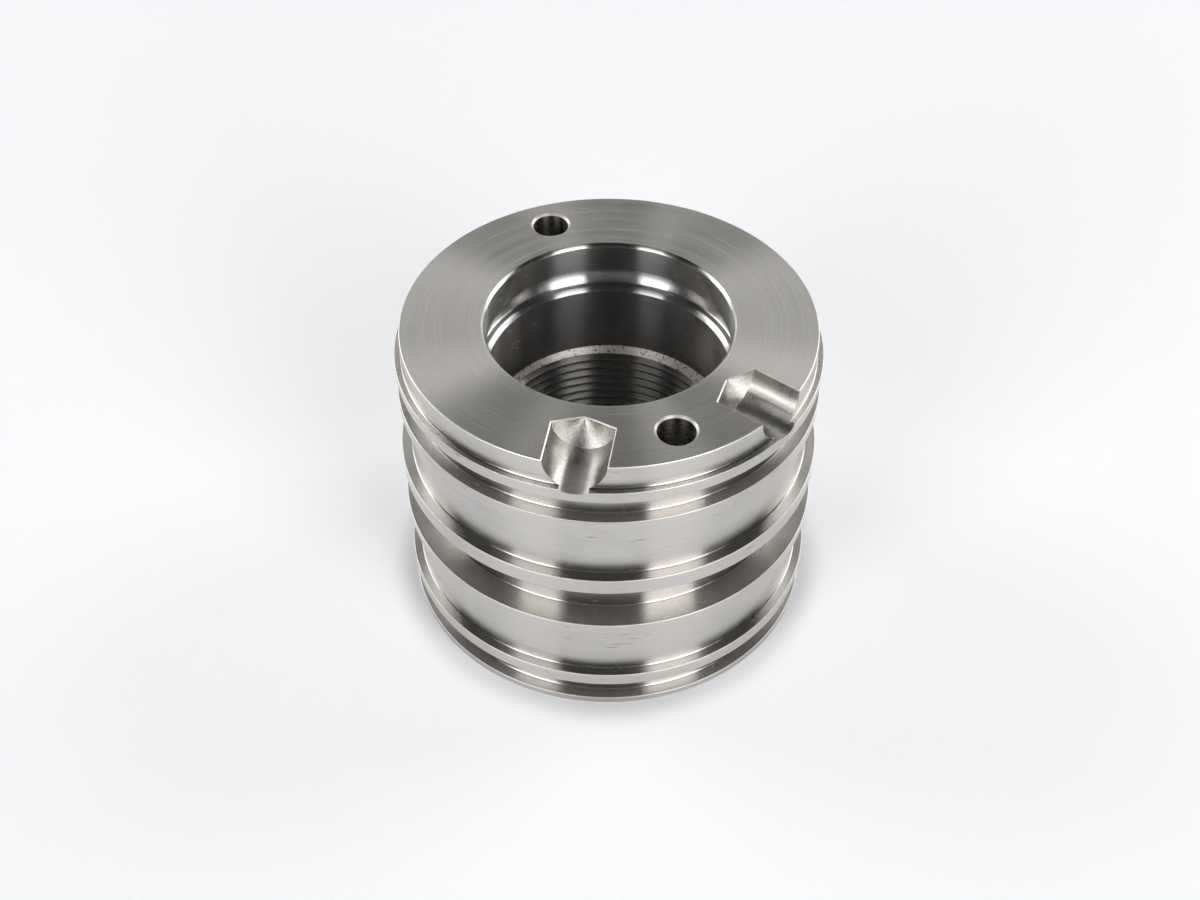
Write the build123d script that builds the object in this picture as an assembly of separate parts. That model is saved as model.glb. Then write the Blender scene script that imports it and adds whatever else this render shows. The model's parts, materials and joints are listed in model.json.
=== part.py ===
from build123d import *
from math import radians, sqrt, tan
import os

# Piston of a double-acting hydraulic cylinder, one piece turned from a steel bar.
# Millimetres, +Z up. The origin is the centre of the bottom face, and the piston's axis is Z.
# The rod comes in from the top: its plain end fits the pilot bore and its thread the lower half.
# One spanner hole lies on -Y, between the two oil notches, and the other on +Y.

# The cylinder and the lands that run in it.
cylinder_bore_diameter = 80.0
land_clearance = 0.2
end_land_relief = 0.55
foot_relief = 0.2

# Heights of the stack, from the bottom face to the top face.
foot_height = 1.5
bottom_ring_groove_width = 4.5
fourth_land_height = 2.7
lower_guide_groove_width = 12.4
third_land_height = 2.2
seal_groove_width = 8.9
second_land_height = 3.3
upper_guide_groove_width = 12.1
first_land_height = 2.4
top_ring_groove_width = 4.7
end_land_height = 2.3
spigot_height = 4.9

# Depths of the grooves and of the spigot's step, measured inwards from the lands.
bottom_ring_groove_depth = 2.4
lower_guide_groove_depth = 1.8
seal_groove_depth = 4.8
upper_guide_groove_depth = 2.1
top_ring_groove_depth = 2.9
spigot_step = 1.75

# Turned edges, broken at 45 degrees: on the running lands and the foot, and round the top face.
# The two relieved end lands keep the sharp corners that the tool left.
edge_break = 0.2
top_edge_break = 0.25

# The rod's metric thread, cut to its minor diameter here, and its lead-in at both ends.
thread_diameter = 45.0
thread_pitch = 2.0
thread_end_margin = 0.3
thread_relief_depth = 0.5
thread_relief_width = 2.45

# The pilot bore above the thread, with the groove for the rod's sealing ring.
pilot_clearance = 0.1
pilot_mouth_chamfer = 0.6
upper_pilot_length = 5.9
rod_seal_groove_width = 4.8
rod_seal_groove_depth = 2.8
pilot_lead_in_width = 1.6
pilot_lead_in_height = 0.65
lower_pilot_length = 11.9

# Two blind holes in the top face for the pins of a face spanner.
spanner_hole_count = 2
spanner_hole_diameter = 6.8
spanner_circle_diameter = 62.5
spanner_hole_depth = 12.0
spanner_hole_chamfer = 0.4
spanner_drill_point = 118.0

# Two half-round oil notches, drilled inwards along the top face and stopped short of the bore.
notch_drill_diameter = 11.0
notch_drill_point = 140.0
notch_point_radius = 26.25
notch_angle = 30.0

# Where the front spanner hole lies, and how far a cutter starts outside the metal.
front_angle = -90.0
cutter_overrun = 2.0

land_radius = cylinder_bore_diameter / 2 - land_clearance
end_land_radius = land_radius - end_land_relief

# The outside from the bottom up: each step's height, its radius and the break on its proud edges.
outer_steps = (
    (foot_height, land_radius - foot_relief, edge_break),
    (bottom_ring_groove_width, land_radius - bottom_ring_groove_depth, 0.0),
    (fourth_land_height, land_radius, edge_break),
    (lower_guide_groove_width, land_radius - lower_guide_groove_depth, 0.0),
    (third_land_height, land_radius, edge_break),
    (seal_groove_width, land_radius - seal_groove_depth, 0.0),
    (second_land_height, land_radius, edge_break),
    (upper_guide_groove_width, land_radius - upper_guide_groove_depth, 0.0),
    (first_land_height, end_land_radius, 0.0),
    (top_ring_groove_width, land_radius - top_ring_groove_depth, 0.0),
    (end_land_height, end_land_radius, 0.0),
    (spigot_height, land_radius - spigot_step, top_edge_break),
)
total_height = sum(height for height, radius, edge in outer_steps)

pilot_radius = thread_diameter / 2 + pilot_clearance
thread_depth = 5 / 8 * sqrt(3) / 2 * thread_pitch
thread_minor_radius = thread_diameter / 2 - thread_depth
relief_radius = pilot_radius + thread_relief_depth
rod_seal_floor_radius = pilot_radius + rod_seal_groove_depth
thread_end_radius = thread_diameter / 2 + thread_end_margin


def outer_outline():
    """Points up the outside. A corner that stands proud of its neighbour is broken by its step's edge."""
    points = []
    low = 0.0
    radii = [0.0] + [radius for height, radius, edge in outer_steps] + [0.0]
    for below, above, (height, radius, edge) in zip(radii, radii[2:], outer_steps):
        high = low + height
        if edge and radius > below:
            points += [(radius - edge, low), (radius, low + edge)]
        else:
            points.append((radius, low))
        if edge and radius > above:
            points += [(radius, high - edge), (radius - edge, high)]
        else:
            points.append((radius, high))
        low = high
    return points


def bore_outline():
    """Points down the inside, from the mouth in the top face to the thread's end in the bottom face."""
    groove_top = total_height - upper_pilot_length
    groove_bottom = groove_top - rod_seal_groove_width
    pilot_top = groove_bottom - pilot_lead_in_height
    relief_top = pilot_top - lower_pilot_length
    relief_bottom = relief_top - thread_relief_width
    thread_top = relief_bottom - (relief_radius - thread_minor_radius)
    thread_bottom = thread_end_radius - thread_minor_radius
    return [
        (pilot_radius + pilot_mouth_chamfer, total_height),
        (pilot_radius, total_height - pilot_mouth_chamfer),
        (pilot_radius, groove_top),
        (rod_seal_floor_radius, groove_top),
        (rod_seal_floor_radius, groove_bottom),
        (pilot_radius + pilot_lead_in_width, groove_bottom),
        (pilot_radius, pilot_top),
        (pilot_radius, relief_top),
        (relief_radius, relief_top),
        (relief_radius, relief_bottom),
        (thread_minor_radius, thread_top),
        (thread_minor_radius, thread_bottom),
        (thread_end_radius, 0.0),
    ]


def turned_body():
    """The turned piece: the outside and the bore as one closed section, spun about Z."""
    outline = Polyline(*outer_outline(), *bore_outline(), close=True)
    return revolve(Plane.XZ * make_face(outline), Axis.Z)


def drill(diameter, point_angle, length, mouth=0.0):
    """A drill standing on its point at the origin, with its shank up and a countersink at its mouth."""
    radius = diameter / 2
    shoulder = radius / tan(radians(point_angle / 2))
    outline = Polyline(
        (0.0, 0.0),
        (radius, shoulder),
        (radius, length - mouth),
        (radius + mouth + cutter_overrun, length + cutter_overrun),
        (0.0, length + cutter_overrun),
        close=True,
    )
    return revolve(Plane.XZ * make_face(outline), Axis.Z)


def spanner_holes():
    """The blind holes for the spanner's pins, drilled down from the top face with a broken edge."""
    point = spanner_hole_diameter / 2 / tan(radians(spanner_drill_point / 2))
    length = spanner_hole_depth + point
    tool = drill(spanner_hole_diameter, spanner_drill_point, length, spanner_hole_chamfer)
    ring = PolarLocations(spanner_circle_diameter / 2, spanner_hole_count, start_angle=front_angle)
    return [Pos(0, 0, total_height - length) * place * tool for place in ring]


def oil_notches():
    """The half-round notches: the drill lies in the top face and points at the axis."""
    length = land_radius - notch_point_radius
    tool = Pos(notch_point_radius, 0, total_height) * Rot(0, 90, 0) * drill(
        notch_drill_diameter, notch_drill_point, length
    )
    angles = (front_angle - notch_angle, front_angle + notch_angle)
    return [Rot(0, 0, angle) * tool for angle in angles]


piston = turned_body() - spanner_holes() - oil_notches()

os.makedirs("parts", exist_ok=True)
export_step(piston.solid(), "parts/piston.step")
print("height", round(total_height, 3), "volume", round(piston.volume, 1))
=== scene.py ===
import json
from math import cos, hypot, pi, radians, sin, tan

import bpy
from bpy.props import FloatProperty, FloatVectorProperty, IntProperty, PointerProperty
from mathutils import Matrix, Vector


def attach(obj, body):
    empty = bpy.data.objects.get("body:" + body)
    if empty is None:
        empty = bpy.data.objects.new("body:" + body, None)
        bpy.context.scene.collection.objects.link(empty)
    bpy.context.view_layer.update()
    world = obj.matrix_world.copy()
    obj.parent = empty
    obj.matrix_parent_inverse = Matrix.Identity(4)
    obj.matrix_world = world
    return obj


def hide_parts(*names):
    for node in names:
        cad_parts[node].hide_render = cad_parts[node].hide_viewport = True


bl_info = {
    "name": "Hydraulic cylinder piston",
    "version": (1, 0, 0),
    "blender": (4, 5, 0),
    "location": "3D View > Sidebar > Piston",
    "description": "Models the turned steel piston, its thread, its drillings and a pale studio stage",
    "category": "Object",
}

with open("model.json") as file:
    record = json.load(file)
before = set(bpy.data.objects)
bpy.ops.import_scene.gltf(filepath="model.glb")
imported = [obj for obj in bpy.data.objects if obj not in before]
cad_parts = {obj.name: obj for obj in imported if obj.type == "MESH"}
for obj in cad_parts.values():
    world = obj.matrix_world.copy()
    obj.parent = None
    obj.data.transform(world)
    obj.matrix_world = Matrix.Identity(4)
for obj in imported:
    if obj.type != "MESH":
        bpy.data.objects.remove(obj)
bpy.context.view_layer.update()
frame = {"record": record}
NODE = "piston"
PIECE = "turned_piston"
MM = 0.001
# Points closer than this are one point, along a cut, in a drawn outline and in the thread's coil.
CRUMB = 0.003 * MM
OUTLINE_CRUMB = CRUMB / 2
COIL_CRUMB = CRUMB / 3
# How far a cutter stands out of the face that it cuts.
OVERCUT = 2 * MM
# A face is level, part of a cone or a broken edge where its normal rises more than this.
LEVEL = 0.99
CONE_SLOPE = 0.3
EDGE_SLOPE = 0.12
SMOOTH_ANGLE = radians(30)
# The weight that lets the larger face lead fully at a soft edge.
LARGE_FACE_WEIGHT = 100
# A metric thread's flanks lean 30 degrees, and its bottom is an eighth of the pitch wide.
FLANK_ANGLE = radians(30)
BOTTOM_SHARE = 1 / 8
# Turns of the thread's cutter below the bottom face, and those added to the thread's whole turns above it.
TURNS_BELOW, TURNS_ABOVE = 1.5, 2
MOUNTS = {mount["name"]: mount for mount in frame["record"]["mounts"]}
TOP = MOUNTS["top_face"]["pos_m"][2]
HOLE_CIRCLE = MOUNTS["spanner_holes"]["dims"]["pcd_mm"] / 2 * MM
FRONT = -pi / 2
# The photograph's size in pixels, and where the middle of the top face stands in it.
IMAGE_WIDTH, IMAGE_HEIGHT = 1200, 900
SEEN_X, SEEN_Y = 608.95, 319.41
SENSOR_WIDTH = 36
CLIP_START, CLIP_END = 0.01, 100
CARD_THICKNESS = 3 * MM
# Most values of a noise texture lie between these two.
NOISE_RANGE = {"From Min": 0.3, "From Max": 0.7}
# How finely the tool marks, the stains and the grain break up.
MARK_DETAIL, MARK_ROUGHNESS = 3.0, 0.65
STAIN_DETAIL, STAIN_ROUGHNESS, STAIN_DISTORTION = 4.0, 0.6, 0.6
GRAIN_DETAIL, GRAIN_ROUGHNESS = 2.0, 0.6
# The part of the grain's noise that is drawn as dark specks.
SPECK_RANGE = {"From Min": 0.56, "From Max": 0.66}
# The size of the faint stains of oil and handling, in millimetres.
STAIN_SIZE = 7
# The short nicks of handling. A real nick is about a tenth of a millimetre high, and is drawn coarser so
# that it shows. Nicks are where the noise is above a limit, which falls as a finish has more of them.
NICK_HEIGHT = 0.3
NICK_TURNS = 14
NICK_LIMIT, NICK_LIMIT_FALL, NICK_EDGE = 0.8, 0.1, 0.06
NICK_SHADE = 0.35
NICK_ROUGH = 0.2
# A quarter turn, so that reflections stretch across the tool marks.
ACROSS_MARKS = 0.25


def linear(colour):
    """An sRGB hex colour as linear red, green and blue."""
    parts = [int(colour[i:i + 2], 16) / 255 for i in (0, 2, 4)]
    return [part / 12.92 if part <= 0.04045 else ((part + 0.055) / 1.055) ** 2.4 for part in parts]


def mount_radius(name):
    """A round mount's wall radius in metres."""
    return MOUNTS[name]["dims"]["r_mm"] * MM


def mount_span(name):
    """The heights where a round mount's wall starts and ends."""
    middle = MOUNTS[name]["pos_m"][2]
    half = MOUNTS[name]["dims"]["length_mm"] * MM / 2
    return middle - half, middle + half


def length(name, description, millimetres):
    """A size that the user may change, shown as a length."""
    return FloatProperty(
        name=name, description=description, default=millimetres * MM, unit="LENGTH", precision=5,
    )


def angle(name, description, value):
    """An angle that the user may change."""
    return FloatProperty(name=name, description=description, default=radians(value), subtype="ANGLE")


def number(name, description, value):
    """A plain number that the user may change."""
    return FloatProperty(name=name, description=description, default=value, min=0.0)


def paint(name, description, colour):
    """A colour that the user may change, given as sRGB hex."""
    return FloatVectorProperty(
        name=name, description=description, default=linear(colour), subtype="COLOR", min=0.0, max=1.0,
    )


class PistonTurning(bpy.types.PropertyGroup):
    """Sizes of the turned outside that no mount gives."""

    steps: IntProperty(name="Steps", description="Facets round every turned face", default=360, min=24)
    foot_radius: length("Foot radius", "Radius of the thin foot below the bottom ring groove", 39.6)
    end_land_radius: length("End land radius", "Radius of the relieved lands at the top ring groove", 39.25)
    spigot_radius: length("Spigot radius", "Radius of the plain step under the top face", 38.05)
    spigot_height: length("Spigot height", "Height of the plain step under the top face", 4.9)
    edge_break: length("Edge break", "Rounded break on the running lands and the foot", 0.15)
    top_break: length("Top edge break", "Rounded break round the top face", 0.25)
    burr_break: length("Sharp edge break", "Tiny flat left on the edges that were not broken", 0.07)
    corner_round: length("Corner round", "Tool nose radius in the corners of the grooves", 0.3)
    round_steps: IntProperty(name="Round steps", description="Facets of each small round", default=4, min=1)


class PistonBore(bpy.types.PropertyGroup):
    """Sizes of the bore that no mount gives."""

    mouth_chamfer: length("Mouth chamfer", "Chamfer of the pilot bore's mouth", 0.6)
    ledge_rise: length("Ledge rise", "From the end of the rod seal's groove up to its lower edge", 0.2)
    flank_width: length("Flank width", "Width of the rod seal groove's sloping lower flank", 1.15)
    flank_height: length("Flank height", "Height of the rod seal groove's sloping lower flank", 1.6)
    flank_round: length("Flank round", "Round where the groove's floor turns into its lower flank", 1.55)
    lead_in_width: length("Lead-in width", "Width of the cone below the rod seal's groove", 0.75)
    lead_in_height: length("Lead-in height", "Height of the cone below the rod seal's groove", 0.85)
    relief_depth: length("Relief depth", "Depth of the thread's relief in the pilot bore", 0.5)
    relief_width: length("Relief width", "Width of the thread's relief", 2.45)


class PistonThread(bpy.types.PropertyGroup):
    """The rod's metric thread."""

    diameter: length("Diameter", "Nominal diameter of the rod's thread", 45.0)
    pitch: length("Pitch", "Pitch of the rod's thread", 2.0)
    end_margin: length("End margin", "How far the bottom chamfer opens past the thread", 0.3)
    clearance: length("Cutter clearance", "How far the thread's cutter stands out of the bore", 0.25)
    start_angle: angle("Start angle", "Turns the thread about the axis", 140.0)


class PistonDrilling(bpy.types.PropertyGroup):
    """Sizes of the spanner holes and the oil notches."""

    hole_depth: length("Spanner hole depth", "Depth of the spanner holes to the drill's full width", 12.0)
    hole_chamfer: length("Spanner hole chamfer", "Chamfer at the mouth of the spanner holes", 0.4)
    hole_point: angle("Spanner drill point", "Point angle of the spanner holes' drill", 118.0)
    notch_diameter: length("Notch diameter", "Drill that cut the oil notches", 11.0)
    notch_point: angle("Notch drill point", "Point angle of the notches' drill", 140.0)
    notch_reach: length("Notch reach", "Distance from the axis to the notches' points", 26.25)
    notch_angle: angle("Notch angle", "Angle between the front spanner hole and each notch", 30.0)
    steps: IntProperty(name="Steps", description="Facets round every drill", default=96, min=12)
    notch_break: length("Notch edge break", "Burred edge round the notches in the top face", 0.2)


class PistonColours(bpy.types.PropertyGroup):
    """The colours of the bare steel, as lit and shaded copies of one steel. A rough face is painted
    lighter, for the light that it holds. The burred edges are painted near white as a glint, and the thread
    is painted darker as shade.
    """

    turned: paint("Turned steel", "Outside walls and lands", "CAC7C3")
    faced: paint("Faced steel", "Top and bottom face", "CFCCC6")
    bored: paint("Bored steel", "Pilot bore, the rod seal's groove and the thread's relief", "CECCCA")
    # Painted shade: the thread's steel is painted darker than the bore's, for the shade that each turn
    # casts on the next.
    threaded_shade: paint("Threaded steel", "Thread and the chamfer below it", "BFBCB8")
    # Painted sheen: the torn, coned, notched, pointed and countersunk steels are painted lighter than the
    # turned steel, for the light that their rough faces catch.
    torn: paint("Torn steel", "Shoulder under the spigot", "D4D0C8")
    coned: paint("Coned steel", "Lead-in cone of the thread", "D9D5CF")
    # Painted glint: the broken and burred edges are painted near white, so that they shine brighter than
    # the lamps alone make them.
    burred_glint: paint("Burred steel", "Broken and burred edges", "F0EDE8")
    notched: paint("Notched steel", "Walls of the oil notches", "DCD9D4")
    pointed: paint("Pointed steel", "Cones that the notches' drill left", "E6E3DD")
    drilled: paint("Drilled steel", "Walls of the spanner holes", "C6C3BF")
    countersunk: paint("Countersunk steel", "Mouths of the spanner holes", "DAD7D2")


class PistonStage(bpy.types.PropertyGroup):
    """The camera, the floor and the light."""

    camera_distance: length("Camera distance", "From the camera to the middle of the top face", 274.1)
    camera_elevation: angle("Camera elevation", "Height of the camera above the top face's middle", 39.32)
    camera_azimuth: angle("Camera azimuth", "From the front spanner hole round to the camera", -21.5)
    camera_roll: angle("Camera roll", "Small roll of the camera", -0.3)
    lens: number("Lens", "Focal length in millimetres", 45.184)
    floor_radius: length("Floor radius", "Radius of the flat part of the table's paper", 1200.0)
    sweep_radius: length("Sweep radius", "Round by which the paper sweeps up at its rim", 450.0)
    backdrop_height: length("Backdrop height", "Height of the upright paper above the sweep", 350.0)
    paper: length("Paper", "Thickness of the table's paper", 1.0)
    sweep_steps: IntProperty(name="Sweep steps", description="Facets of the sweep", default=8, min=3)
    table_steps: IntProperty(name="Table steps", description="Facets round the table", default=96, min=12)
    lamp_distance: length("Lamp distance", "From the piston to each softbox", 1000.0)
    rim_lift: number("Rim lift", "Plain brightness added towards the table's rim", 0.36)
    floor_lift: number("Floor lift", "Plain brightness that the floor shows besides its light", 0.355)
    lift_start: length("Lift start", "From the axis to where the floor's own brightness starts", 38.0)
    lift_end: length("Lift end", "From the axis to where the floor's own brightness is full", 46.0)
    rim_start: length("Rim lift start", "From the axis to where the rim's own brightness starts", 600.0)
    rim_end: length("Rim lift end", "From the axis to where the rim's own brightness is full", 1400.0)
    room_light: number("Room light", "Brightness of the dim room round the lamps", 0.03)
    floor_colour: paint("Floor colour", "Colour of the white paper", "F2F3F5")
    card_colour: paint("Card colour", "Colour of the black cards", "1C1C1C")
    room_colour: paint("Room colour", "Colour of the dim room round the lamps", "FFFFFF")


def deselect():
    """Deselects every object, because the operators act on all that is selected."""
    bpy.ops.object.select_all(action="DESELECT")


def activate(piece):
    """Selects one piece alone and makes it the active one."""
    deselect()
    piece.select_set(True)
    bpy.context.view_layer.objects.active = piece


def eased(corners, segments):
    """The outline with each corner cut back by its own length.

    A length above zero leaves a flat break, and one below zero leaves a round of some segments.
    """
    points = []
    for index, (radius, height, cut) in enumerate(corners):
        corner = Vector((radius, height))
        if not cut:
            points.append(corner)
            continue
        before = Vector(corners[index - 1][:2]) - corner
        after = Vector(corners[(index + 1) % len(corners)][:2]) - corner
        start = corner + before.normalized() * abs(cut)
        end = corner + after.normalized() * abs(cut)
        count = segments if cut < 0 else 1
        for step in range(count + 1):
            way = step / count
            inward = start.lerp(corner, way).lerp(corner.lerp(end, way), way)
            points.append(inward if count > 1 else start.lerp(end, way))
    return points


def start_piece(name):
    """Adds an empty mesh and leaves it open for drawing."""
    deselect()
    bpy.ops.mesh.primitive_plane_add(size=MM, location=(0, 0, 0))
    piece = bpy.context.active_object
    piece.name = name
    bpy.ops.object.mode_set(mode="EDIT")
    bpy.ops.mesh.select_mode(type="VERT")
    bpy.ops.mesh.select_all(action="SELECT")
    bpy.ops.mesh.delete(type="VERT")
    return piece


def draw_loop(points):
    """Draws a closed line from one point to the next in the open mesh."""
    bpy.ops.mesh.select_all(action="DESELECT")
    bpy.ops.mesh.primitive_plane_add(size=MM, location=(0, 0, 0))
    bpy.ops.mesh.merge(type="CENTER")
    here = Vector((0, 0, 0))
    for index, point in enumerate([*points, points[0]]):
        step = Vector(point) - here
        if index:
            bpy.ops.mesh.extrude_region_move(TRANSFORM_OT_translate={"value": step})
        else:
            bpy.ops.transform.translate(value=step)
        here = Vector(point)
    bpy.ops.mesh.select_all(action="SELECT")
    bpy.ops.mesh.remove_doubles(threshold=OUTLINE_CRUMB)


def close_piece():
    """Turns all faces of the open mesh outwards and leaves it."""
    bpy.ops.mesh.select_all(action="SELECT")
    bpy.ops.mesh.normals_make_consistent(inside=False)
    bpy.ops.object.mode_set(mode="OBJECT")


def turn(name, outline, steps):
    """Draws a closed outline of radii and heights and spins it about Z."""
    piece = start_piece(name)
    draw_loop([(radius, 0, height) for radius, height in outline])
    bpy.ops.mesh.select_all(action="SELECT")
    bpy.ops.mesh.spin(steps=steps, angle=2 * pi, center=(0, 0, 0), axis=(0, 0, 1))
    bpy.ops.mesh.select_all(action="SELECT")
    bpy.ops.mesh.remove_doubles(threshold=OUTLINE_CRUMB)
    close_piece()
    return piece


def modify(piece, kind, **settings):
    """Adds one modifier to a piece and applies it."""
    activate(piece)
    bpy.ops.object.modifier_add(type=kind)
    modifier = piece.modifiers[-1]
    for key, value in settings.items():
        setattr(modifier, key, value)
    bpy.ops.object.modifier_apply(modifier=modifier.name)


def place(piece, location, rotation):
    """Turns and moves a piece, and puts the move into its mesh."""
    activate(piece)
    piece.rotation_euler = rotation
    piece.location = location
    bpy.ops.object.transform_apply(location=True, rotation=True, scale=True)


def cut(body, tool):
    """Takes a tool's shape out of the body, deletes the tool and merges the crumbs along the cut."""
    modify(
        body, "BOOLEAN", operation="DIFFERENCE", solver="MANIFOLD", material_mode="TRANSFER", object=tool,
    )
    activate(tool)
    bpy.ops.object.delete()
    activate(body)
    bpy.ops.object.mode_set(mode="EDIT")
    bpy.ops.mesh.select_all(action="SELECT")
    bpy.ops.mesh.remove_doubles(threshold=CRUMB)
    bpy.ops.mesh.select_all(action="SELECT")
    bpy.ops.mesh.dissolve_degenerate(threshold=CRUMB)
    bpy.ops.object.mode_set(mode="OBJECT")


def smooth(body):
    """Shades the rounds smooth and lets the larger face lead at each soft edge."""
    activate(body)
    bpy.ops.object.shade_smooth_by_angle(angle=SMOOTH_ANGLE)
    modify(body, "WEIGHTED_NORMAL", mode="FACE_AREA", weight=LARGE_FACE_WEIGHT, keep_sharp=True)


def outside_corners(sizes):
    """The outside from the bottom up: radius, height and break of each corner."""
    land, end_land = mount_radius("cylinder_lands"), sizes.end_land_radius
    # Each groove with the radius of the land below it, the break of that land, and the land above it.
    grooves = (
        ("bottom_ring_groove", sizes.foot_radius, -sizes.edge_break, land),
        ("lower_guide_groove", land, -sizes.edge_break, land),
        ("seal_groove", land, -sizes.edge_break, land),
        ("upper_guide_groove", land, -sizes.edge_break, end_land),
        ("top_ring_groove", end_land, sizes.burr_break, end_land),
    )
    corners = [(sizes.foot_radius, 0.0, -sizes.edge_break)]
    for name, below, low_break, above in grooves:
        low, high = mount_span(name)
        floor = mount_radius(name)
        corners += [
            (below, low, low_break),
            (floor, low, -sizes.corner_round),
            (floor, high, -sizes.corner_round),
            (above, high, sizes.burr_break),
        ]
    shoulder = TOP - sizes.spigot_height
    return corners + [
        (end_land, shoulder, sizes.burr_break),
        (sizes.spigot_radius, shoulder, -sizes.corner_round),
        (sizes.spigot_radius, TOP, -sizes.top_break),
    ]


def bore_corners(turning, bore, thread):
    """The bore from its mouth in the top face down to the bottom face."""
    pilot = mount_radius("pilot_bore")
    minor = mount_radius("rod_thread")
    seal_low, seal_high = mount_span("rod_seal_groove")
    seal_floor = mount_radius("rod_seal_groove")
    ledge = seal_low + bore.ledge_rise
    relief_high = mount_span("pilot_bore")[0]
    relief_low = relief_high - bore.relief_width
    relief = pilot + bore.relief_depth
    thread_low, thread_high = mount_span("rod_thread")
    return [
        (pilot + bore.mouth_chamfer, TOP, turning.burr_break),
        (pilot, TOP - bore.mouth_chamfer, turning.burr_break),
        (pilot, seal_high, turning.burr_break),
        (seal_floor, seal_high, -turning.corner_round),
        (seal_floor, ledge + bore.flank_height, -bore.flank_round),
        (seal_floor - bore.flank_width, ledge, turning.burr_break),
        (pilot + bore.lead_in_width, ledge, turning.burr_break),
        (pilot, ledge - bore.lead_in_height, 0.0),
        (pilot, relief_high, turning.burr_break),
        (relief, relief_high, -turning.corner_round),
        (relief, relief_low, 0.0),
        (minor, thread_high, 0.0),
        (minor, thread_low, 0.0),
        (thread.diameter / 2 + thread.end_margin, 0.0, turning.burr_break),
    ]


def drill(name, diameter, point, depth, mouth, steps):
    """A drill standing on its point at the origin, with its cone, its shank and a countersink.

    Gives back the drill and the height at which it meets the face that it enters.
    """
    radius = diameter / 2
    shoulder = radius / tan(point / 2)
    outline = [
        Vector((0, 0)),
        Vector((radius, shoulder)),
        Vector((radius, shoulder + depth - mouth)),
        Vector((radius + mouth + OVERCUT, shoulder + depth + OVERCUT)),
        Vector((0, shoulder + depth + OVERCUT)),
    ]
    return turn(name, outline, steps), shoulder + depth


TURNED_FINISHES = (
    "turned_steel_outside", "faced_steel_top", "bored_steel_bore", "threaded_steel_bore",
    "torn_steel_shoulder", "coned_steel_lead_in", "burred_steel_edges",
)


def turned_finish(middle, normal, sizes):
    """Names the finish of a turned face from its place and its slope."""
    slope = abs(normal.z)
    if slope > LEVEL and (middle.z > TOP - CRUMB or middle.z < CRUMB):
        return "faced_steel_top"
    reach = hypot(middle.x, middle.y)
    margin = sizes.edge_break
    if reach < mount_radius("rod_seal_groove") + margin:
        if normal.z > CONE_SLOPE and middle.z < mount_span("pilot_bore")[0]:
            return "coned_steel_lead_in"
        above_thread = middle.z > mount_span("rod_thread")[1] + margin
        return "bored_steel_bore" if above_thread else "threaded_steel_bore"
    if slope > LEVEL and abs(middle.z - (TOP - sizes.spigot_height)) < CRUMB:
        return "torn_steel_shoulder"
    proud = reach > sizes.end_land_radius - 2 * sizes.edge_break or middle.z > TOP - sizes.top_break
    if proud and EDGE_SLOPE < slope < LEVEL:
        return "burred_steel_edges"
    return "turned_steel_outside"


class PISTON_OT_turned_body(bpy.types.Operator):
    """Turns the piston's outside and its stepped bore from one outline"""

    bl_idname = "piston.turned_body"
    bl_label = "Turned body"

    def execute(self, context):
        scene = context.scene
        sizes = scene.piston_turning
        corners = outside_corners(sizes) + bore_corners(sizes, scene.piston_bore, scene.piston_thread)
        body = turn(PIECE, eased(corners, sizes.round_steps), sizes.steps)
        for name in TURNED_FINISHES:
            body.data.materials.append(bpy.data.materials[name])
        for face in body.data.polygons:
            finish = turned_finish(face.center, face.normal, sizes)
            face.material_index = TURNED_FINISHES.index(finish)
        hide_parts(NODE)
        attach(body, "root")
        return {"FINISHED"}


class PISTON_OT_rod_thread(bpy.types.Operator):
    """Cuts the rod's right-hand metric thread into the lower half of the bore"""

    bl_idname = "piston.rod_thread"
    bl_label = "Rod thread"

    def execute(self, context):
        thread = context.scene.piston_thread
        body = bpy.data.objects[PIECE]
        major = thread.diameter / 2
        clear = mount_radius("rod_thread") - thread.clearance
        tip = thread.pitch * BOTTOM_SHARE / 2
        base = tip + (major - clear) * tan(FLANK_ANGLE)
        high = mount_span("rod_thread")[1]
        start = -TURNS_BELOW * thread.pitch
        coil = start_piece("thread_coil")
        section = ((clear, -base), (major, -tip), (major, tip), (clear, base))
        draw_loop([(radius, 0, start + height) for radius, height in section])
        bpy.ops.object.mode_set(mode="OBJECT")
        turns = int((high - start) / thread.pitch) + TURNS_ABOVE
        steps = context.scene.piston_turning.steps
        modify(
            coil, "SCREW", axis="Z", angle=2 * pi, screw_offset=thread.pitch, iterations=turns,
            steps=steps, render_steps=steps, use_merge_vertices=True, merge_threshold=COIL_CRUMB,
        )
        bpy.ops.object.mode_set(mode="EDIT")
        bpy.ops.mesh.select_all(action="SELECT")
        bpy.ops.mesh.fill_holes(sides=0)
        close_piece()
        place(coil, (0, 0, 0), (0, 0, thread.start_angle))
        coil.data.materials.append(bpy.data.materials["threaded_steel_bore"])
        cut(body, coil)
        return {"FINISHED"}


def notch_skirt(sizes):
    """A cutter that breaks the edge round an oil notch.

    It follows the notch's outline one break below the top face, and flares upwards at 45 degrees.
    """
    skirt = start_piece("notch_skirt")
    slant = sizes.notch_point / 2
    outer = mount_radius("cylinder_lands") + sizes.notch_break
    for height in (-sizes.notch_break, 2 * sizes.notch_break):
        flare = height + sizes.notch_break
        side = sizes.notch_diameter / 2 + flare
        apex = sizes.notch_reach - flare / sin(slant)
        shoulder = apex + side / tan(slant)
        draw_loop([
            (apex, 0, height), (shoulder, side, height), (outer, side, height),
            (outer, -side, height), (shoulder, -side, height),
        ])
    bpy.ops.mesh.select_mode(type="EDGE")
    bpy.ops.mesh.select_all(action="SELECT")
    bpy.ops.mesh.bridge_edge_loops()
    bpy.ops.mesh.select_all(action="SELECT")
    bpy.ops.mesh.fill_holes(sides=0)
    close_piece()
    skirt.data.materials.append(bpy.data.materials["burred_steel_edges"])
    return skirt


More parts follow.
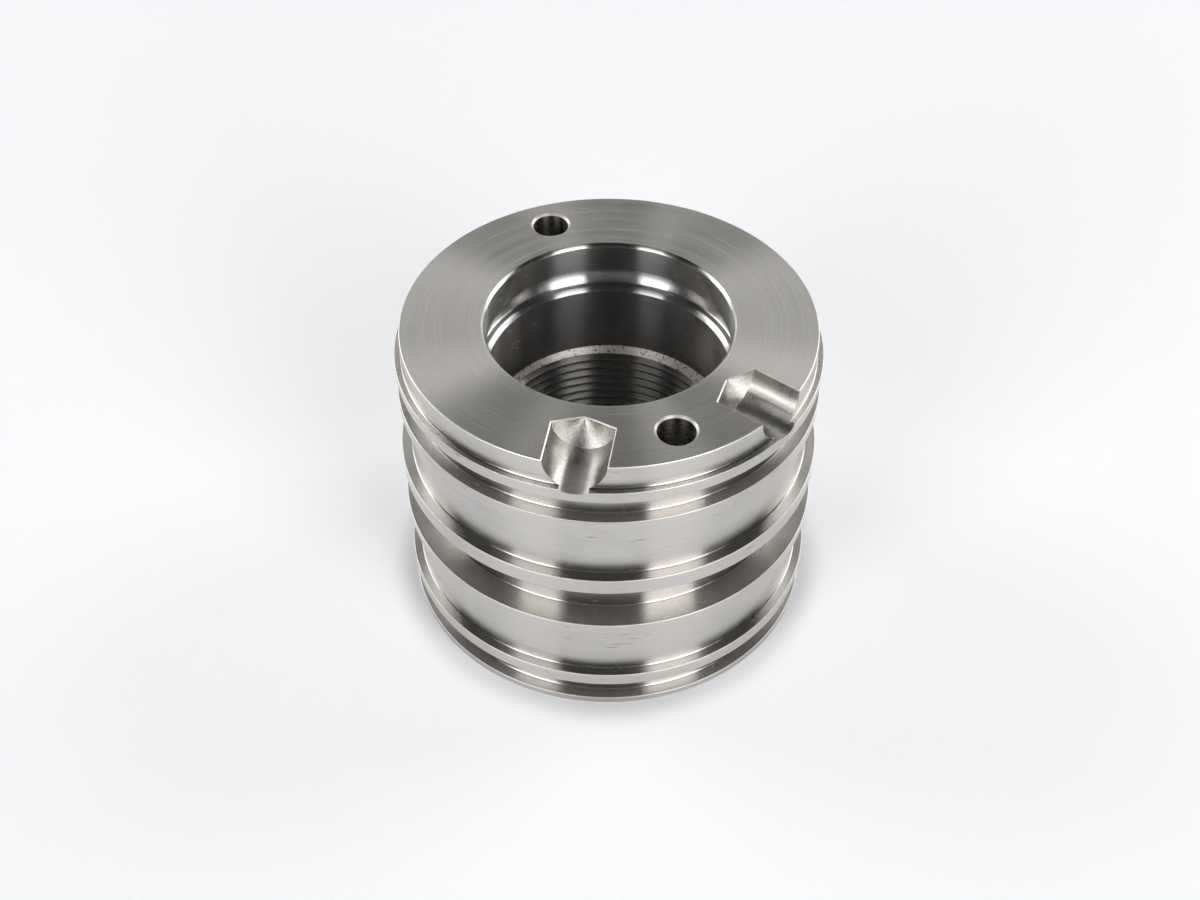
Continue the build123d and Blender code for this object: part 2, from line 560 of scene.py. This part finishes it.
def paint_cutter(tool, wall, end, is_end):
    """Gives a cutter one finish for its walls and one for the faces that a test picks."""
    tool.data.materials.append(bpy.data.materials[wall])
    tool.data.materials.append(bpy.data.materials[end])
    for face in tool.data.polygons:
        face.material_index = 1 if is_end(face) else 0


def drill_spanner_hole(body, sizes, turned):
    """Drills one blind spanner hole and countersinks its mouth."""
    diameter = 2 * MOUNTS["spanner_holes"]["dims"]["hole_r_mm"] * MM
    tool, depth = drill(
        "spanner_drill", diameter, sizes.hole_point, sizes.hole_depth, sizes.hole_chamfer, sizes.steps,
    )
    mouth = depth - sizes.hole_chamfer
    paint_cutter(
        tool, "drilled_steel_holes", "countersunk_steel_holes",
        lambda face: face.center.z > mouth and CONE_SLOPE < abs(face.normal.z) < LEVEL,
    )
    place(tool, (HOLE_CIRCLE * cos(turned), HOLE_CIRCLE * sin(turned), TOP - depth), (0, 0, 0))
    cut(body, tool)


def drill_oil_notch(body, sizes, turned):
    """Drills one oil notch along the top face and breaks its edge."""
    shank = mount_radius("cylinder_lands") - sizes.notch_reach
    tool, _ = drill("notch_drill", sizes.notch_diameter, sizes.notch_point, shank, 0.0, sizes.steps)
    paint_cutter(
        tool, "drilled_steel_notches", "drilled_steel_points", lambda face: abs(face.normal.z) > CONE_SLOPE,
    )
    place(tool, (0, 0, 0), (0, pi / 2, 0))
    place(tool, (sizes.notch_reach * cos(turned), sizes.notch_reach * sin(turned), TOP), (0, 0, turned))
    cut(body, tool)
    skirt = notch_skirt(sizes)
    place(skirt, (0, 0, TOP), (0, 0, turned))
    cut(body, skirt)


class PISTON_OT_drillings(bpy.types.Operator):
    """Drills the spanner holes and the half-round oil notches into the top face"""

    bl_idname = "piston.drillings"
    bl_label = "Drillings"

    def execute(self, context):
        sizes = context.scene.piston_drilling
        body = bpy.data.objects[PIECE]
        count = MOUNTS["spanner_holes"]["dims"]["count"]
        for index in range(count):
            drill_spanner_hole(body, sizes, FRONT + 2 * pi * index / count)
        for side in (-1, 1):
            drill_oil_notch(body, sizes, FRONT + side * sizes.notch_angle)
        smooth(body)
        return {"FINISHED"}


def fill_inputs(tree, node, inputs):
    """Sets or links a node's inputs by name or number."""
    for key, value in inputs.items():
        if isinstance(value, bpy.types.NodeSocket):
            tree.links.new(value, node.inputs[key])
        else:
            node.inputs[key].default_value = value


def add_node(tree, kind, inputs=None, output=0, **settings):
    """Adds one node to a tree with its settings and inputs, and gives back one of its outputs."""
    node = tree.nodes.new("ShaderNode" + kind)
    for key, value in settings.items():
        setattr(node, key, value)
    fill_inputs(tree, node, inputs or {})
    return node.outputs[output]


def steel(name, colour, find_axis, roughness, stretch, spacing, depth, mark_rough, mark_shade, stain,
          turns=1.5, grain_size=0.0, grain_depth=0.0, specks=0.0, nicks=0.0):
    """A bare steel whose tool marks run round an axis, so that each reflection is stretched across them.

    The marks have a spacing and a depth in millimetres, and change the roughness and the shade. Stains
    change both faintly. Turns says how often the marks change in going round. The grain has a size and a
    depth in millimetres and a share of dark specks. Nicks says from 0 to 1 how many short nicks there are.
    """
    material = bpy.data.materials.new(name)
    material.use_nodes = True
    tree = material.node_tree
    point_here = add_node(tree, "TexCoord", output="Object")
    axis, point = find_axis(tree, point_here)
    across = add_node(tree, "VectorMath", {0: axis, 1: point}, operation="CROSS_PRODUCT")
    around = add_node(tree, "VectorMath", {0: across}, operation="NORMALIZE")
    radius = add_node(tree, "VectorMath", {0: across}, "Value", operation="LENGTH")
    along = add_node(tree, "VectorMath", {0: axis, 1: point}, "Value", operation="DOT_PRODUCT")

    def ring_noise(changes, step, detail):
        """A noise that changes fast along the axis and outwards, and slowly round it."""
        per_step = 1 / (step * MM)
        slow = add_node(tree, "VectorMath", {0: around, 1: (changes,) * 3}, operation="MULTIPLY")
        rise = add_node(tree, "Math", {0: along, 1: per_step}, operation="MULTIPLY")
        fast = add_node(tree, "VectorMath", {0: axis, "Scale": rise}, operation="SCALE")
        return add_node(tree, "TexNoise", {
            "Vector": add_node(tree, "VectorMath", {0: slow, 1: fast}, operation="ADD"),
            "W": add_node(tree, "Math", {0: radius, 1: per_step}, operation="MULTIPLY"),
            "Scale": 1.0, "Detail": detail, "Roughness": MARK_ROUGHNESS,
        }, "Fac", noise_dimensions="4D")

    lines = ring_noise(turns, spacing, MARK_DETAIL)
    stains = add_node(tree, "TexNoise", {
        "Vector": point_here, "Scale": 1 / (STAIN_SIZE * MM), "Detail": STAIN_DETAIL,
        "Roughness": STAIN_ROUGHNESS, "Distortion": STAIN_DISTORTION,
    }, "Fac")
    marked = {"Value": lines, **NOISE_RANGE}
    stained = {"Value": stains, **NOISE_RANGE}
    rough = add_node(tree, "Math", {
        0: add_node(tree, "MapRange", {
            **marked, "To Min": roughness - mark_rough, "To Max": roughness + mark_rough,
        }),
        1: add_node(tree, "MapRange", {**stained, "To Min": -stain / 2, "To Max": stain / 2}),
    }, operation="ADD")
    bright = add_node(tree, "Math", {
        0: add_node(tree, "MapRange", {**marked, "To Min": 1.0, "To Max": 1.0 - mark_shade}),
        1: add_node(tree, "MapRange", {**stained, "To Min": 1.0, "To Max": 1.0 - stain}),
    }, operation="MULTIPLY")
    relief = add_node(tree, "Bump", {"Strength": 1.0, "Distance": depth * MM, "Height": lines})
    if grain_size:
        grain = add_node(tree, "TexNoise", {
            "Vector": point_here, "Scale": 1 / (grain_size * MM), "Detail": GRAIN_DETAIL,
            "Roughness": GRAIN_ROUGHNESS,
        }, "Fac")
        relief = add_node(tree, "Bump", {
            "Strength": 1.0, "Distance": grain_depth * MM, "Height": grain, "Normal": relief,
        })
        speckled = add_node(tree, "MapRange", {
            "Value": grain, **SPECK_RANGE, "To Min": 1.0, "To Max": 1.0 - specks,
        })
        bright = add_node(tree, "Math", {0: bright, 1: speckled}, operation="MULTIPLY")
    if nicks:
        limit = NICK_LIMIT - NICK_LIMIT_FALL * nicks
        nicked = {
            "Value": ring_noise(NICK_TURNS, NICK_HEIGHT, 0.0),
            "From Min": limit, "From Max": limit + NICK_EDGE,
        }
        darker = add_node(tree, "MapRange", {**nicked, "To Min": 1.0, "To Max": 1.0 - NICK_SHADE})
        duller = add_node(tree, "MapRange", {**nicked, "To Min": 0.0, "To Max": NICK_ROUGH})
        bright = add_node(tree, "Math", {0: bright, 1: darker}, operation="MULTIPLY")
        rough = add_node(tree, "Math", {0: rough, 1: duller}, operation="ADD")
    fill_inputs(tree, tree.nodes["Principled BSDF"], {
        "Base Color": add_node(tree, "VectorMath", {0: colour, "Scale": bright}, operation="SCALE"),
        "Metallic": 1.0,
        "Roughness": rough,
        "Normal": relief,
        "Tangent": around,
        "Anisotropic": stretch,
        "Anisotropic Rotation": ACROSS_MARKS,
    })


def matt(name, colour):
    """A matt material of one plain colour, without gloss."""
    material = bpy.data.materials.new(name)
    material.use_nodes = True
    fill_inputs(material.node_tree, material.node_tree.nodes["Principled BSDF"], {
        "Base Color": (*colour, 1), "Roughness": 1.0, "Specular IOR Level": 0.0,
    })
    return material


def piston_axis(tree, point_here):
    """The piston's own axis, and the point as seen from it."""
    return add_node(tree, "CombineXYZ", {"Z": 1.0}), point_here


def hole_axis(tree, point_here):
    """The axis of the nearer spanner hole, and the point as seen from it."""
    side = add_node(tree, "Math", {
        0: add_node(tree, "SeparateXYZ", {0: point_here}, "Y"),
    }, operation="SIGN")
    centre = add_node(tree, "CombineXYZ", {
        "Y": add_node(tree, "Math", {0: side, 1: HOLE_CIRCLE}, operation="MULTIPLY"),
    })
    point = add_node(tree, "VectorMath", {0: point_here, 1: centre}, operation="SUBTRACT")
    return add_node(tree, "CombineXYZ", {"Z": 1.0}), point


def notch_axis(tree, point_here):
    """The axis of the nearer oil notch, which lies in the top face, and the point as seen from it."""
    turned = bpy.context.scene.piston_drilling.notch_angle
    side = add_node(tree, "Math", {
        0: add_node(tree, "SeparateXYZ", {0: point_here}, "X"),
    }, operation="SIGN")
    axis = add_node(tree, "CombineXYZ", {
        "X": add_node(tree, "Math", {0: side, 1: sin(turned)}, operation="MULTIPLY"), "Y": -cos(turned),
    })
    return axis, add_node(tree, "VectorMath", {0: point_here, 1: (0, 0, TOP)}, operation="SUBTRACT")


class PISTON_OT_finishes(bpy.types.Operator):
    """Mixes the piston's steel finishes"""

    bl_idname = "piston.finishes"
    bl_label = "Finishes"

    def execute(self, context):
        colours = context.scene.piston_colours
        # The feed marks of a lathe are 0.1 to 0.2 mm apart, and the grain of torn steel is about as fine.
        # Both are drawn two to three times as coarse, so that they show.
        # Turned alloy steel, bare and lightly oiled: a bright satin wall that smears each lamp upright.
        steel(
            "turned_steel_outside", colours.turned, piston_axis, roughness=0.21, stretch=1.0,
            spacing=0.4, depth=0.0010, mark_rough=0.02, mark_shade=0.06, stain=0.05, nicks=0.2,
        )
        # Faced steel: fine rings that spread each lamp into a fan across the top.
        steel(
            "faced_steel_top", colours.faced, piston_axis, roughness=0.31, stretch=1.0,
            spacing=0.36, depth=0.0014, mark_rough=0.05, mark_shade=0.16, stain=0.04, turns=0.6,
        )
        # Finely bored steel: dark and glossy, with one upright streak for each lamp.
        steel(
            "bored_steel_bore", colours.bored, piston_axis, roughness=0.225, stretch=1.0,
            spacing=0.4, depth=0.0006, mark_rough=0.012, mark_shade=0.05, stain=0.02, nicks=0.2,
        )
        # Tapped steel: darker than the bore, since each turn shades the next, and its colour is painted
        # darker still as shade.
        steel(
            "threaded_steel_bore", colours.threaded_shade, piston_axis, roughness=0.25, stretch=1.0,
            spacing=0.4, depth=0.0003, mark_rough=0.005, mark_shade=0.03, stain=0.05,
        )
        # The narrow shoulder that a blunt tool tore: grainy glints and dark specks.
        steel(
            "torn_steel_shoulder", colours.torn, piston_axis, roughness=0.32, stretch=0.8,
            spacing=0.3, depth=0.0015, mark_rough=0.04, mark_shade=0.14, stain=0.06,
            grain_size=0.35, grain_depth=0.020, specks=0.6, nicks=0.5,
        )
        # The thread's lead-in cone with crumbs of burr: a light band, its colour painted lighter as a
        # sheen, with dark specks.
        steel(
            "coned_steel_lead_in", colours.coned, piston_axis, roughness=0.40, stretch=0.35,
            spacing=0.3, depth=0.0015, mark_rough=0.03, mark_shade=0.10, stain=0.06,
            grain_size=0.6, grain_depth=0.060, specks=0.8,
        )
        # Edges broken by hand: thin light outlines that glint unevenly, partly from the lamps and partly
        # from their colour, which is painted near white as a glint.
        steel(
            "burred_steel_edges", colours.burred_glint, piston_axis, roughness=0.40, stretch=0.0,
            spacing=0.3, depth=0.0010, mark_rough=0.03, mark_shade=0.05, stain=0.05,
            grain_size=0.4, grain_depth=0.050, specks=0.1,
        )
        # Drilled steel in the notches: a softer shine than the walls, with faint rings round each notch's
        # own axis.
        steel(
            "drilled_steel_notches", colours.notched, notch_axis, roughness=0.29, stretch=0.95,
            spacing=0.35, depth=0.0007, mark_rough=0.04, mark_shade=0.06, stain=0.04,
            grain_size=0.25, grain_depth=0.001, specks=0.05,
        )
        # The cones that the drill's point left: the grainiest faces in the notches, and the lightest, as
        # their colour is painted lighter for a sheen.
        steel(
            "drilled_steel_points", colours.pointed, notch_axis, roughness=0.40, stretch=0.75,
            spacing=0.35, depth=0.0025, mark_rough=0.06, mark_shade=0.16, stain=0.06,
            grain_size=0.35, grain_depth=0.060, specks=0.4,
        )
        # Drilled steel in the spanner holes: dark, with upright streaks.
        steel(
            "drilled_steel_holes", colours.drilled, hole_axis, roughness=0.26, stretch=0.9,
            spacing=0.3, depth=0.0015, mark_rough=0.04, mark_shade=0.12, stain=0.05,
        )
        # The countersunk mouths of the spanner holes: a thin light ring, its colour painted lighter as a
        # sheen, brightest on the far side.
        steel(
            "countersunk_steel_holes", colours.countersunk, hole_axis, roughness=0.48, stretch=0.0,
            spacing=0.3, depth=0.0015, mark_rough=0.04, mark_shade=0.05, stain=0.05,
        )
        # Matt black card: it takes light away and shows no gloss.
        matt("matt_black_card", context.scene.piston_stage.card_colour)
        return {"FINISHED"}


def studio_camera(stage):
    """Sets the camera so that the middle of the top face stands where it does in the photograph."""
    focal = stage.lens / SENSOR_WIDTH * IMAGE_WIDTH
    ray = Vector((SEEN_X - IMAGE_WIDTH / 2, IMAGE_HEIGHT / 2 - SEEN_Y, focal)).normalized()
    turned, raised = stage.camera_azimuth, stage.camera_elevation
    toward = Vector((sin(turned) * cos(raised), -cos(turned) * cos(raised), sin(raised)))
    forward = -toward
    right = forward.cross(Vector((0, 0, 1))).normalized()
    looking = Matrix((right, right.cross(forward), forward))
    aim = Vector((0, 0, 1)).rotation_difference(ray).to_matrix()
    rows = Matrix.Rotation(stage.camera_roll, 3, ray) @ aim @ looking
    axes = Matrix((rows[0], rows[1], -rows[2])).transposed()
    spot = Vector((0, 0, TOP)) + toward * stage.camera_distance
    deselect()
    bpy.ops.object.camera_add()
    camera = bpy.context.active_object
    camera.matrix_world = Matrix.Translation(spot) @ axes.to_4x4()
    camera.data.sensor_fit = "HORIZONTAL"
    camera.data.sensor_width = SENSOR_WIDTH
    camera.data.lens = stage.lens
    camera.data.clip_start, camera.data.clip_end = CLIP_START, CLIP_END
    bpy.context.scene.camera = camera


def softbox(stage, name, azimuth, width, low, high, brightness):
    """A rectangular lamp that covers a width and a height of the view from the piston.

    Azimuths run from the camera's side, and the brightness is what a mirror would show.
    """
    turned = stage.camera_azimuth + radians(azimuth)
    middle = radians(low + high) / 2
    distance = stage.lamp_distance
    toward = Vector((sin(turned) * cos(middle), -cos(turned) * cos(middle), sin(middle)))
    size = 2 * distance * cos(middle) * tan(radians(width) / 2)
    height = 2 * distance * tan(radians(high - low) / 2)
    deselect()
    bpy.ops.object.light_add(type="AREA", location=toward * distance + Vector((0, 0, TOP / 2)))
    lamp = bpy.context.active_object
    lamp.name = name
    lamp.rotation_euler = toward.to_track_quat("Z", "Y").to_euler()
    lamp.data.shape = "RECTANGLE"
    lamp.data.size = size
    lamp.data.size_y = height
    lamp.data.energy = brightness * pi * size * height
    lamp.visible_camera = False


def black_card(stage, name, azimuth, width, low, high):
    """A matt black card that stands upright between two softboxes, as studios use for shiny metal.

    It keeps the pale rim out of the steel, and the camera doesn't see it.
    """
    turned = stage.camera_azimuth + radians(azimuth)
    distance = stage.lamp_distance
    deselect()
    bpy.ops.mesh.primitive_plane_add(size=1, location=(0, 0, 0))
    card = bpy.context.active_object
    card.name = name
    size = (2 * distance * tan(radians(width) / 2), (high - low) * MM, 1)
    middle = (distance * sin(turned), -distance * cos(turned), (low + high) * MM / 2)
    bpy.ops.object.mode_set(mode="EDIT")
    bpy.ops.mesh.select_mode(type="FACE")
    bpy.ops.mesh.select_all(action="SELECT")
    bpy.ops.transform.resize(value=size)
    bpy.ops.mesh.extrude_region_move(TRANSFORM_OT_translate={"value": (0, 0, CARD_THICKNESS)})
    bpy.ops.mesh.select_all(action="SELECT")
    bpy.ops.mesh.normals_make_consistent(inside=False)
    bpy.ops.object.mode_set(mode="OBJECT")
    place(card, middle, (pi / 2, 0, turned))
    card.visible_camera = False
    card.data.materials.append(bpy.data.materials["matt_black_card"])


def table_paper(stage):
    """Matt white paper with a plain pale brightness of its own, which the camera and the steel both see.

    Right under the piston it has only the light that reaches it, which keeps the contact shadow. Its own
    brightness fades in only over a ring round the foot, which darkens the floor there as painted shadow.
    """
    material = matt("matt_white_paper", stage.floor_colour)
    tree = material.node_tree
    ray = add_node(tree, "LightPath").node.outputs
    seen = add_node(tree, "Math", {0: ray["Is Camera Ray"], 1: ray["Is Glossy Ray"]}, operation="MAXIMUM")
    seen = add_node(tree, "Math", {0: seen, 1: ray["Is Transmission Ray"]}, operation="MAXIMUM")
    here = add_node(tree, "TexCoord", output="Object")
    reach = add_node(tree, "VectorMath", {0: here}, "Value", operation="LENGTH")
    # Painted shadow: the floor's own brightness fades in between the lift start and the lift end, which
    # darkens a ring round the foot.
    near = add_node(tree, "MapRange", {
        "Value": reach, "From Min": stage.lift_start, "From Max": stage.lift_end,
        "To Min": 0.0, "To Max": stage.floor_lift,
    }, interpolation_type="SMOOTHSTEP")
    far = add_node(tree, "MapRange", {
        "Value": reach, "From Min": stage.rim_start, "From Max": stage.rim_end,
        "To Min": 0.0, "To Max": stage.rim_lift,
    }, interpolation_type="SMOOTHSTEP")
    lift = add_node(tree, "Math", {0: near, 1: far}, operation="ADD")
    fill_inputs(tree, tree.nodes["Principled BSDF"], {
        "Emission Color": (*stage.floor_colour, 1),
        "Emission Strength": add_node(tree, "Math", {0: lift, 1: seen}, operation="MULTIPLY"),
    })
    return material


def table(stage):
    """Turns the flat table with its sweep and its upright backdrop from one sheet of paper."""
    flat, sweep = stage.floor_radius, stage.sweep_radius
    turns = [pi / 2 * step / stage.sweep_steps for step in range(stage.sweep_steps + 1)]
    rim = [Vector((flat + sweep * sin(turned), sweep * (1 - cos(turned)))) for turned in turns]
    under = [
        point + Vector((stage.paper * sin(turned), -stage.paper)) for point, turned in zip(rim, turns)
    ]
    upright = Vector((0, stage.backdrop_height))
    back = [rim[-1] + upright, under[-1] + upright]
    outline = [Vector((0, 0)), *rim, *back, *reversed(under), Vector((0, -stage.paper))]
    floor = turn("table", outline, stage.table_steps)
    activate(floor)
    bpy.ops.object.shade_smooth_by_angle(angle=SMOOTH_ANGLE)
    floor.data.materials.append(table_paper(stage))


# Each softbox: its azimuth from the camera's side, its width and its low and high edge, all in degrees, and
# its brightness.
SOFTBOXES = (
    ("front_right_low_softbox", 35, 31, 0, 19, 4.0),
    ("front_right_softbox", 35, 27, 20, 35, 5.2),
    ("front_right_high_softbox", 38, 32, 36, 47, 3.4),
    ("front_right_upper_softbox", 40, 28, 48, 59, 1.6),
    ("front_left_low_softbox", -38, 28, 0, 19, 3.9),
    ("front_left_softbox", -39, 22, 20, 35, 4.9),
    ("front_left_high_softbox", -40, 26, 36, 47, 2.6),
    ("back_right_softbox", 118, 30, 18, 47, 3.0),
    ("back_left_softbox", -115, 32, 18, 47, 3.0),
    ("back_right_low_softbox", 118, 32, 0, 17, 1.6),
    ("back_left_low_softbox", -115, 32, 0, 17, 1.3),
    ("back_softbox", 179, 84, 12, 47, 0.57),
)
# Each black card: its azimuth from the camera's side and its width in degrees, and its low and high edge in
# millimetres.
BLACK_CARDS = (
    ("front_black_card", -3, 42, 90, 480),
    ("right_black_card", 79, 40, 0, 480),
    ("left_black_card", -78, 40, 0, 480),
)


class PISTON_OT_stage(bpy.types.Operator):
    """Sets the pale table, the softboxes and black cards round it, and the camera"""

    bl_idname = "piston.stage"
    bl_label = "Stage"

    def execute(self, context):
        stage = context.scene.piston_stage
        table(stage)
        for lamp in SOFTBOXES:
            softbox(stage, *lamp)
        for card in BLACK_CARDS:
            black_card(stage, *card)
        studio_camera(stage)
        room = bpy.data.worlds.new("studio")
        room.use_nodes = True
        background = room.node_tree.nodes["Background"]
        background.inputs["Color"].default_value = (*stage.room_colour, 1)
        background.inputs["Strength"].default_value = stage.room_light
        context.scene.world = room
        context.scene.view_settings.view_transform = "Standard"
        return {"FINISHED"}


class PISTON_PT_panel(bpy.types.Panel):
    """Lists the piston's steps, sizes and colours"""

    bl_idname = "PISTON_PT_panel"
    bl_label = "Piston"
    bl_space_type = "VIEW_3D"
    bl_region_type = "UI"
    bl_category = "Piston"

    def draw(self, context):
        for operator in OPERATORS:
            self.layout.operator(operator.bl_idname)
        for name, group in GROUPS.items():
            box = self.layout.box()
            for size in group.__annotations__:
                box.prop(getattr(context.scene, name), size)


GROUPS = {
    "piston_turning": PistonTurning,
    "piston_bore": PistonBore,
    "piston_thread": PistonThread,
    "piston_drilling": PistonDrilling,
    "piston_colours": PistonColours,
    "piston_stage": PistonStage,
}
OPERATORS = (
    PISTON_OT_finishes,
    PISTON_OT_turned_body,
    PISTON_OT_rod_thread,
    PISTON_OT_drillings,
    PISTON_OT_stage,
)


def register():
    """Registers the classes and gives the scene one group of each kind."""
    for group in (*GROUPS.values(), *OPERATORS, PISTON_PT_panel):
        bpy.utils.register_class(group)
    for name, group in GROUPS.items():
        setattr(bpy.types.Scene, name, PointerProperty(type=group))


def unregister():
    """Takes back what register did."""
    for name in GROUPS:
        delattr(bpy.types.Scene, name)
    for group in reversed((*GROUPS.values(), *OPERATORS, PISTON_PT_panel)):
        bpy.utils.unregister_class(group)


def main():
    """Builds the piston and its stage."""
    register()
    bpy.ops.piston.finishes()
    bpy.ops.piston.turned_body()
    bpy.ops.piston.rod_thread()
    bpy.ops.piston.drillings()
    bpy.ops.piston.stage()


if __name__ == "__main__":
    main()
